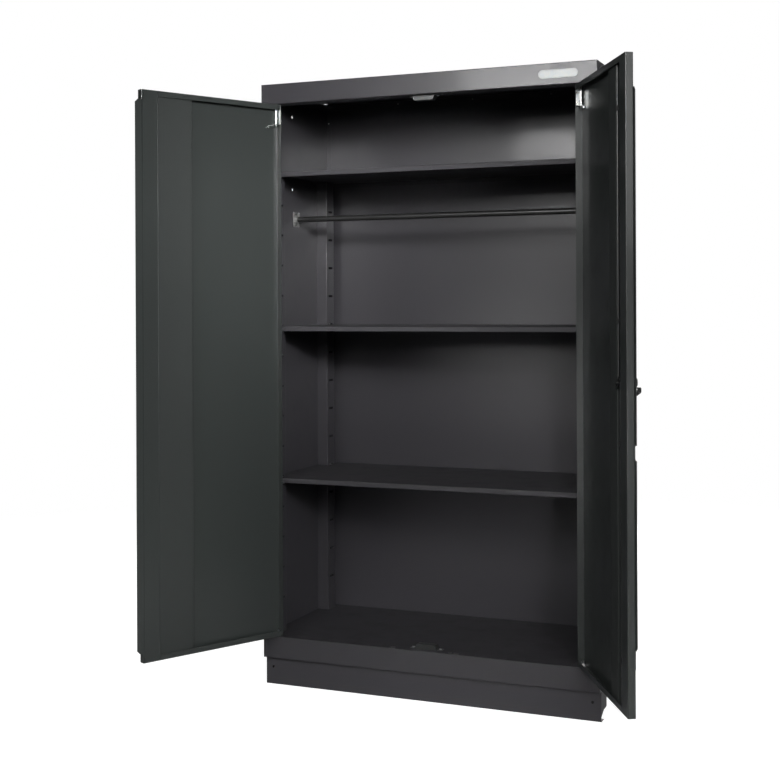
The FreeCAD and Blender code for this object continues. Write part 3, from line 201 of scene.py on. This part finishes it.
def worn_edge(place, reach):
    """1 on edges and corners, fading to 0 on flats within this reach in metres."""
    soft = place.new("ShaderNodeBevel", {"samples": EDGE_SAMPLES}, {"Radius": reach})
    true = place.new("ShaderNodeNewGeometry", out="Normal")
    pair = {0: soft, 1: true}
    alike = place.new("ShaderNodeVectorMath", {"operation": "DOT_PRODUCT"}, pair, out="Value")
    return (1 - alike).between(LEAN_START, LEAN_FULL)


print("an edge starts to show at a lean of", round(math.degrees(math.acos(1 - LEAN_START))), "degrees")

# %% [markdown]
# ## Powder coat
# The steel is sprayed with dry powder and baked, which leaves a thin, even, satin skin with a
# fine orange peel. Up close it is a speckle of slightly different greys. On cut edges the powder
# pulls back and is thin, so edges are a little lighter and duller. An image could be wrapped
# round each piece, but every folded sheet would need a flat map for it. Noise in metres runs on
# over all the bends.
#
# One function makes four batches. The doors' batch is a touch greener with more gleam on top:
# seen along the face, they mirror the wall at their hinge edge. Their stiffeners, the shelves and
# the floor are sprayed coarser and stay matt, so that bends don't flash and the back wall isn't
# mirrored in the shelves. Their darker shades are painted shade: the stiffeners are kept a little
# below the door sheets so that they read no lighter under these lamps, and the shelves and floor
# below the carcass so that their tops stay dark.

# %% Powder coat
CLOUD_SIZE, SMUDGE_SIZE, PEEL_SIZE, SPECK_SIZE = 0.35, 0.06, 0.0016, 0.0007  # metres
CLOUD_SHARE, PEEL_SHARE = 0.6, 0.7  # of the colour and of the relief; specks have the rest
SMUDGE_FROM, SMUDGE_TO, SMUDGE_HIDES = 0.45, 0.75, 0.25  # it hides this share of the gleam
PEEL_DEPTH, PEEL_STRENGTH = 0.00006, 0.35
THIN_EDGE, THIN_SHARE = 0.0016, 0.6  # reach in metres, and how far the tone goes to the bare one
COAT_TONES = (0.94, 1.06, 1.20)  # dark, light and bare, each times the shade
CLOUD_DULLS, SMUDGE_DULLS, EDGE_DULLS = 0.10, 0.05, 0.25  # added roughness
COAT_SHINE, GLEAM_ROUGHNESS = 0.4, 0.10


def powder_coat(name, shade, roughness, gleam):
    """A baked coat of this sRGB shade; gleam is the weight of the clear layer on top."""
    finish, place = start_finish(name)
    cloud = place.noise(CLOUD_SIZE, detail=3.0)
    peel = place.noise(PEEL_SIZE)
    speck = place.noise(SPECK_SIZE, detail=1.0)
    smudge = place.noise(SMUDGE_SIZE, detail=4.0).between(SMUDGE_FROM, SMUDGE_TO)
    edge = worn_edge(place, THIN_EDGE)
    dark, light, bare = (linear(*[part * tone for part in shade]) for tone in COAT_TONES)
    grain = cloud * CLOUD_SHARE + speck * (1 - CLOUD_SHARE)
    colour = (edge * THIN_SHARE).tint(grain.tint(dark, light), bare)
    dull = (cloud - NOISE_MIDDLE) * CLOUD_DULLS + smudge * SMUDGE_DULLS + edge * EDGE_DULLS
    clear = (1 - smudge * SMUDGE_HIDES) * (1 - edge) * gleam if gleam else 0.0
    relief = peel * PEEL_SHARE + speck * (1 - PEEL_SHARE)
    close_finish(place, relief, PEEL_DEPTH, PEEL_STRENGTH,
                 Base_Color=colour, Roughness=roughness + dull, Specular_IOR_Level=COAT_SHINE,
                 Coat_Weight=clear, Coat_Roughness=GLEAM_ROUGHNESS)
    return finish


body_coat = powder_coat("carcass_powder_coat", (44, 43, 46), roughness=0.33, gleam=0.12)
door_coat = powder_coat("door_powder_coat", (38, 41, 40), roughness=0.38, gleam=0.28)
# painted shade: a little darker than the door sheets, so that the stiffeners read no lighter under these
# lamps
painted_shade_stiffener_coat = powder_coat("stiffener_powder_coat_painted_shade", (32, 35, 34), roughness=0.58, gleam=0.0)
# painted shade: darker than the carcass, so that the tops of the shelves and the floor stay dark under
# these lamps
painted_shade_shelf_coat = powder_coat("shelf_powder_coat_painted_shade", (37, 36, 39), roughness=0.66, gleam=0.0)
print("powder coats ready:", body_coat.name, door_coat.name, painted_shade_stiffener_coat.name, painted_shade_shelf_coat.name)

# %% [markdown]
# ## Zinc plate
# Hinge parts, feet, leg brackets, clips and most screws and nuts are pressed or turned steel
# under a thin bright zinc skin. The plating is clear with a faint blue and straw bloom, and fine
# drawn lines show through it. A flat grey metal would do from afar, but it looks like paint up
# close, so one noise gives the bloom and a stretched one the lines. The lock's rods, its cam with
# screw and nut, and the two catches are the same steel, but blackened, so they stay dark. The
# badge is a dull silver version.

# %% Zinc plate
BLOOM_SIZE, BLOOM_FROM, BLOOM_TO = 0.012, 0.35, 0.65
LINE_SIZE, LINE_STRETCH, LINE_DEPTH, LINE_STRENGTH = 0.0009, (1.0, 1.0, 0.12), 0.00003, 0.4
PLATED_EDGE, EDGE_POLISH = 0.0004, 0.06  # reach in metres, and the roughness that wear takes off
BLOOM_DULLS, LINE_DULLS = 0.22, 0.10
STRAW, PALE_BLUE = (206, 203, 192), (192, 200, 210)


def plated_steel(name, roughness, bloom=0.5, shade=1.0):
    """Bare metal; bloom weighs the patches against the lines, and shade darkens both tones."""
    finish, place = start_finish(name)
    patch = place.noise(BLOOM_SIZE, detail=4.0)
    line = place.stretched(LINE_STRETCH).noise(LINE_SIZE)
    edge = worn_edge(place, PLATED_EDGE)
    warm, cool = (linear(*[part * shade for part in tone]) for tone in (STRAW, PALE_BLUE))
    colour = (patch.between(BLOOM_FROM, BLOOM_TO) * bloom + line * (1 - bloom)).tint(warm, cool)
    dull = (patch - NOISE_MIDDLE) * BLOOM_DULLS + (line - NOISE_MIDDLE) * LINE_DULLS - edge * EDGE_POLISH
    close_finish(place, line, LINE_DEPTH, LINE_STRENGTH,
                 Base_Color=colour, Roughness=roughness + dull, Metallic=1.0)
    return finish


zinc = plated_steel("bright_zinc", roughness=0.30)
blackened = plated_steel("blackened_steel", roughness=0.40, bloom=0.4, shade=0.40)
badge_face = plated_steel("dull_silver_badge", roughness=0.50, bloom=0.3, shade=0.66)
print("plated steel ready:", zinc.name, blackened.name, badge_face.name)

# %% [markdown]
# ## Mouldings
# The top bushes, rod guides, rod sockets and door glides are moulded nylon with a fine
# spark-eroded grain. The lock's plate and handle, and the hanging rail with its screws, are
# smoother and blacker, and the plinth screws are the blackest. The two brackets that hold the rail
# are a plain mid grey, which is painted light: it stands in for the light that falls on their
# fronts. The bushes in the doors' bottom walls are left pale. Each could have a material of its
# own make, but they differ only in shade, roughness and grain, so one function serves all.

# %% Moulded nylon and satin black
HAZE_SIZE, HAZE_TINTS, HAZE_DULLS = 0.02, 0.5, 0.16
MOULDED_EDGE, RUB_TINTS, RUB_POLISH = 0.0005, 0.6, 0.10  # rubbed edges are lighter and smoother
MOULDED_TONES = (0.85, 1.2)  # dark and light, each times the shade
GRAIN_STRENGTH = 0.5


def moulded(name, shade, roughness, grain_size, grain_depth):
    """A moulding of this sRGB grey, with a grain of this size and depth in metres."""
    finish, place = start_finish(name)
    grain = place.noise(grain_size)
    haze = place.noise(HAZE_SIZE, detail=3.0)
    edge = worn_edge(place, MOULDED_EDGE)
    dark, light = (linear(shade * tone) for tone in MOULDED_TONES)
    colour = (haze * HAZE_TINTS + edge * RUB_TINTS).tint(dark, light)
    dull = (haze - NOISE_MIDDLE) * HAZE_DULLS - edge * RUB_POLISH
    close_finish(place, grain, grain_depth, GRAIN_STRENGTH, Base_Color=colour, Roughness=roughness + dull)
    return finish


nylon = moulded("black_nylon", 30, 0.44, grain_size=0.0006, grain_depth=0.00006)
black_satin = moulded("black_lock_and_rail", 26, 0.34, grain_size=0.0005, grain_depth=0.00004)
# painted light: a mid grey in place of the light that the rail's brackets catch on their fronts
painted_light_bracket_grey = moulded("rail_brackets_grey_painted_light", 92, 0.46, grain_size=0.0006, grain_depth=0.00005)
pale_nylon = moulded("pale_door_bushes", 205, 0.40, grain_size=0.0006, grain_depth=0.00005)
deep_black = moulded("black_plinth_screws", 6, 0.26, grain_size=0.0005, grain_depth=0.00003)
mouldings = (nylon, black_satin, painted_light_bracket_grey, pale_nylon, deep_black)
print("mouldings ready:", ", ".join(finish.name for finish in mouldings))

# %% [markdown]
# ## Which finish goes where
# Finishes could be set piece by piece, but the imported record already gives every node a slot
# name, so the finish follows the slot. A few pieces have their own, found by the ending of their
# name: door sheets, stiffeners, shelves and floor their batch of coat, the last three darkened as
# painted shade, the lock's rods, its cam with screw and nut, and the catches blackened steel, the
# hanging rail satin black, its brackets a grey that is painted light, the door bushes pale and the
# plinth screws the deepest black.

# %% Dress the CAD nodes
SLOT_FINISH = {
    "coat": body_coat,
    "zinc": zinc,
    "plastic": nylon,
    "badge": badge_face,
    "black": black_satin,
}
OWN_FINISH = {
    "door_pan": door_coat,
    "overlap_strip": door_coat,
    # the stiffener, shelf and floor coats are darkened as painted shade
    "door_stiffener": painted_shade_stiffener_coat,
    "shelf": painted_shade_shelf_coat,
    "floor_panel": painted_shade_shelf_coat,
    "lock_rod": blackened,
    "lock_cam": blackened,
    "cam_screw": blackened,
    "lock_nut": blackened,
    "catch": blackened,
    "hanging_rail": black_satin,
    # the brackets' grey is painted light
    "rail_bracket": painted_light_bracket_grey,
    "bottom_bush": pale_nylon,
    "plinth_screws": deep_black,
}
dressed = dict.fromkeys(SLOT_FINISH, 0)
for part in frame["record"]["subparts"]:
    finish = SLOT_FINISH[part["material_slot"]]
    for ending, own in OWN_FINISH.items():
        if part["node"].endswith(ending):
            finish = own
    for mesh_slot in nodes[part["node"]].material_slots:
        mesh_slot.material = finish
    dressed[part["material_slot"]] += 1
print("nodes dressed", dressed)

# %% [markdown]
# ## Hinge springs
# Round each upper hinge pin a small coil spring pushes the pin up into the fascia. A coil could
# be a curve with a round bevel, but one wire ring turned and lifted at once by a spin gives the
# same coil as plain faces.

# %% Hinge springs
WIRE, COIL_RADIUS, TURNS = 0.00090, 0.00395, 5
RING_STEPS, WIRE_SIDES = 28, 10
SPRING_SEAT, COIL_RISE = 1.67955, 0.0135
spring_wire = plated_steel("drawn_spring_wire", roughness=0.24, bloom=0.2)


def link_piece(shape, name, finish, body):
    """Turn a shape into a named object that has a finish and rides on a body."""
    data = bpy.data.meshes.new(name)
    shape.to_mesh(data)
    shape.free()
    data.materials.append(finish)
    piece = bpy.data.objects.new(name, data)
    bpy.context.scene.collection.objects.link(piece)
    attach(piece, body)
    return piece


def coil(foot):
    """A round wire wound upwards about a pin, from the middle of its seat."""
    shape = bmesh.new()
    ring = bmesh.ops.create_circle(shape, segments=WIRE_SIDES, radius=WIRE / 2)["verts"]
    bmesh.ops.rotate(shape, verts=ring, matrix=Matrix.Rotation(math.pi / 2, 3, "X"))
    bmesh.ops.translate(shape, verts=ring, vec=(COIL_RADIUS, 0, WIRE / 2))
    lift = COIL_RISE / (TURNS * RING_STEPS)
    bmesh.ops.spin(shape, geom=shape.verts[:] + shape.edges[:], axis=(0, 0, 1), dvec=(0, 0, lift),
                   angle=math.tau * TURNS, steps=TURNS * RING_STEPS)
    bmesh.ops.holes_fill(shape, edges=[edge for edge in shape.edges if edge.is_boundary], sides=0)
    bmesh.ops.recalc_face_normals(shape, faces=shape.faces)
    for face in shape.faces:
        face.smooth = len(face.verts) == 4
    bmesh.ops.translate(shape, verts=shape.verts, vec=foot)
    return shape


for hand in ("left", "right"):
    low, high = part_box(hand + "_pin_spring")
    seat = Vector(((low[0] + high[0]) / 2, (low[1] + high[1]) / 2, SPRING_SEAT))
    spring = link_piece(coil(seat), hand + "_hinge_coil", spring_wire, hand + "_door")
    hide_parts(hand + "_pin_spring")
    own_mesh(spring)
    print(spring.name, "faces", len(spring.data.polygons), "z", [round(v, 4) for v in (low[2], high[2])])

# %% [markdown]
# ## Badge
# A small blank plate sits on the fascia: a long flat with round ends, pressed so that a bright
# rim stands round a recessed field. The field could be cut out with a boolean, but insets keep
# clean faces for the bevel of the rim. The plate starts as a four-cornered face whose corners are
# rounded by a bevel on the points, is drawn out to its thickness, and its face is inset and
# pushed back.

# %% Badge
END_ROUND, END_STEPS = 0.0118, 14
RIM_WIDTH, FIELD_SINK, FIELD_SLOPE = 0.0016, 0.0005, 0.0004
EDGE_BREAK, BREAK_STEPS = 0.0004, 3
low, high = (Vector(corner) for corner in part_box("badge_plate"))
shape = bmesh.new()
corners = [(low.x, low.z), (high.x, low.z), (high.x, high.z), (low.x, high.z)]
shape.faces.new([shape.verts.new((x, high.y, z)) for x, z in corners])
bmesh.ops.bevel(shape, geom=shape.verts[:], offset=END_ROUND, segments=END_STEPS, profile=0.5,
                affect="VERTICES", material=-1, offset_type="OFFSET")
front = bmesh.ops.extrude_face_region(shape, geom=shape.faces[:])["geom"]
points = [item for item in front if isinstance(item, bmesh.types.BMVert)]
field = [item for item in front if isinstance(item, bmesh.types.BMFace)]
bmesh.ops.translate(shape, verts=points, vec=(0, low.y - high.y, 0))
rim = list(field[0].edges)
bmesh.ops.inset_region(shape, faces=field, thickness=RIM_WIDTH, depth=0.0, use_even_offset=True)
bmesh.ops.inset_region(shape, faces=field, thickness=FIELD_SLOPE, depth=-FIELD_SINK, use_even_offset=True)
bmesh.ops.bevel(shape, geom=rim, offset=EDGE_BREAK, segments=BREAK_STEPS, profile=0.5,
                affect="EDGES", material=-1)
bmesh.ops.recalc_face_normals(shape, faces=shape.faces)
badge = link_piece(shape, "blank_badge", badge_face, "carcass")
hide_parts("badge_plate")
print(badge.name, "faces", len(badge.data.polygons), "size", [round(v, 4) for v in high - low])

# %% [markdown]
# ## Studio floor
# The cabinet stands on a plain floor that fades into a white surround. A curved backdrop is the
# usual way, but it would hide the cabinet from behind. A disc that grows clear towards its rim
# looks the same from every side. The camera sees it lifted to white, but the light that it throws
# back up is that of a mid grey.

# %% Floor
FLOOR_FULL, FLOOR_GONE, FLOOR_MARGIN, FLOOR_SIDES = 2.2, 4.2, 0.3, 96
FLOOR_RADIUS = FLOOR_GONE + FLOOR_MARGIN
FLOOR_DARK, FLOOR_LIGHT, FLOOR_PATCH = linear(152), linear(158), 0.5
FLOOR_GRAIN, FLOOR_DEPTH, FLOOR_STRENGTH = 0.004, 0.0001, 0.2
FLOOR_ROUGHNESS, FLOOR_LIFT = 0.75, 0.85
floor_mesh = bmesh.new()
bmesh.ops.create_circle(floor_mesh, cap_ends=True, segments=FLOOR_SIDES, radius=FLOOR_RADIUS)
floor_data = bpy.data.meshes.new("studio_floor")
floor_mesh.to_mesh(floor_data)
floor_mesh.free()
floor = bpy.data.objects.new("studio_floor", floor_data)
bpy.context.scene.collection.objects.link(floor)
paint, place = start_finish("plain_floor")
reach = place.new("ShaderNodeVectorMath", {"operation": "LENGTH"}, {0: place}, out="Value")
seen = place.new("ShaderNodeLightPath", out="Is Camera Ray")
grey = place.noise(FLOOR_PATCH, detail=3.0).tint(FLOOR_DARK, FLOOR_LIGHT)
close_finish(place, place.noise(FLOOR_GRAIN), FLOOR_DEPTH, FLOOR_STRENGTH,
             Base_Color=grey, Roughness=FLOOR_ROUGHNESS,
             Emission_Color=seen.tint(linear(0), linear(255)), Emission_Strength=FLOOR_LIFT,
             Alpha=1 - reach.between(FLOOR_FULL, FLOOR_GONE))
floor_data.materials.append(paint)
print("floor radius", FLOOR_RADIUS)

# %% [markdown]
# ## Softboxes
# One strong lamp would throw hard shadows, so square area lights are used, as in a studio. Three
# stand in front: over the camera, to the left and to the right. Smaller ones with a grid, which
# keeps their light in a narrow beam, lift the inside, both doors, the upper left corner, the top
# shelf, the back wall, the fascia and the plinth. Three more stand behind the cabinet with their
# middles below its top, so that little of their light passes over it.

# %% Softboxes
CABINET_MIDDLE = (0.0, -0.1, 1.0)
NO_GRID = 180


def softbox(name, place, aim, side, power, spread=NO_GRID):
    """A square lamp: its side in metres, its power in watts, the spread of its beam in degrees."""
    light = bpy.data.lights.new(name, "AREA")
    light.shape, light.size, light.energy = "SQUARE", side, power
    light.spread = math.radians(spread)
    lamp = bpy.data.objects.new(name, light)
    lamp.rotation_mode = "QUATERNION"
    lamp.location = place
    lamp.rotation_quaternion = (Vector(aim) - Vector(place)).to_track_quat("-Z", "Y")
    lamp.visible_camera = False
    bpy.context.scene.collection.objects.link(lamp)


softbox("over_camera", (1.4, -3.9, 2.4), CABINET_MIDDLE, side=1.6, power=88)
softbox("front_left", (-0.5, -3.0, 2.2), CABINET_MIDDLE, side=0.8, power=35)
softbox("front_right", (2.6, -3.0, 2.2), CABINET_MIDDLE, side=1.6, power=21)
softbox("grid_on_inside", (2.0, -3.3, 2.2), (-0.5, 0.1, 1.35), side=0.5, power=4.6, spread=20)
softbox("grid_on_left_door", (2.4, -3.0, 1.9), (-0.65, -0.35, 0.5), side=0.6, power=3.0, spread=26)
softbox("grid_on_left_door_low", (2.4, -3.0, 0.6), (-0.7, -0.4, 0.35), side=0.3, power=0.15, spread=12)
softbox("grid_on_upper_left", (2.4, -3.0, 1.9), (-0.6, -0.35, 1.7), side=0.4, power=0.5, spread=16)
softbox("grid_on_top_shelf", (0.9, -3.6, 1.5), (-0.2, 0.43, 1.62), side=0.3, power=0.10, spread=7)
softbox("grid_on_back", (-0.6, -3.2, 1.5), (0.12, 0.43, 0.9), side=0.3, power=0.13, spread=12)
softbox("grid_on_right_door", (1.95, -3.45, 1.05), (0.45, -0.20, 0.72), side=0.3, power=0.38, spread=13)
softbox("grid_on_fascia", (0.0, -3.6, 2.3), (0.34, -0.23, 1.77), side=0.3, power=0.16, spread=9)
softbox("grid_on_plinth", (2.2, -3.4, 1.0), (0.25, -0.25, 0.08), side=0.4, power=1.3, spread=16)
softbox("rear", (0.2, 4.2, 1.3), CABINET_MIDDLE, side=2.0, power=120)
softbox("rear_left", (-3.6, 1.6, 1.3), CABINET_MIDDLE, side=1.6, power=60)
softbox("rear_right", (3.6, 1.8, 1.3), CABINET_MIDDLE, side=1.6, power=45)
print("softboxes", len(bpy.data.lights))

# %% [markdown]
# ## Surround
# The surround is white where the camera looks straight at it. A white world could also light the
# cabinet, but it would flatten every shadow, so as a source of light it is nearly black. The
# standard view transform keeps white as white.

# %% Surround
AMBIENT = 0.02
surround = bpy.data.worlds.new("white_surround")
surround.use_nodes = True
sky = surround.node_tree
sky.nodes.clear()
straight = Flow(sky, sky.nodes.new("ShaderNodeLightPath").outputs["Is Camera Ray"])
strength = straight * (1 - AMBIENT) + AMBIENT
glow = straight.new("ShaderNodeBackground", {}, {"Color": linear(255), "Strength": strength})
straight.new("ShaderNodeOutputWorld", {}, {"Surface": glow})
bpy.context.scene.world = surround
bpy.context.scene.view_settings.view_transform = "Standard"
print(surround.name, "gives", AMBIENT, "of its light to the cabinet")
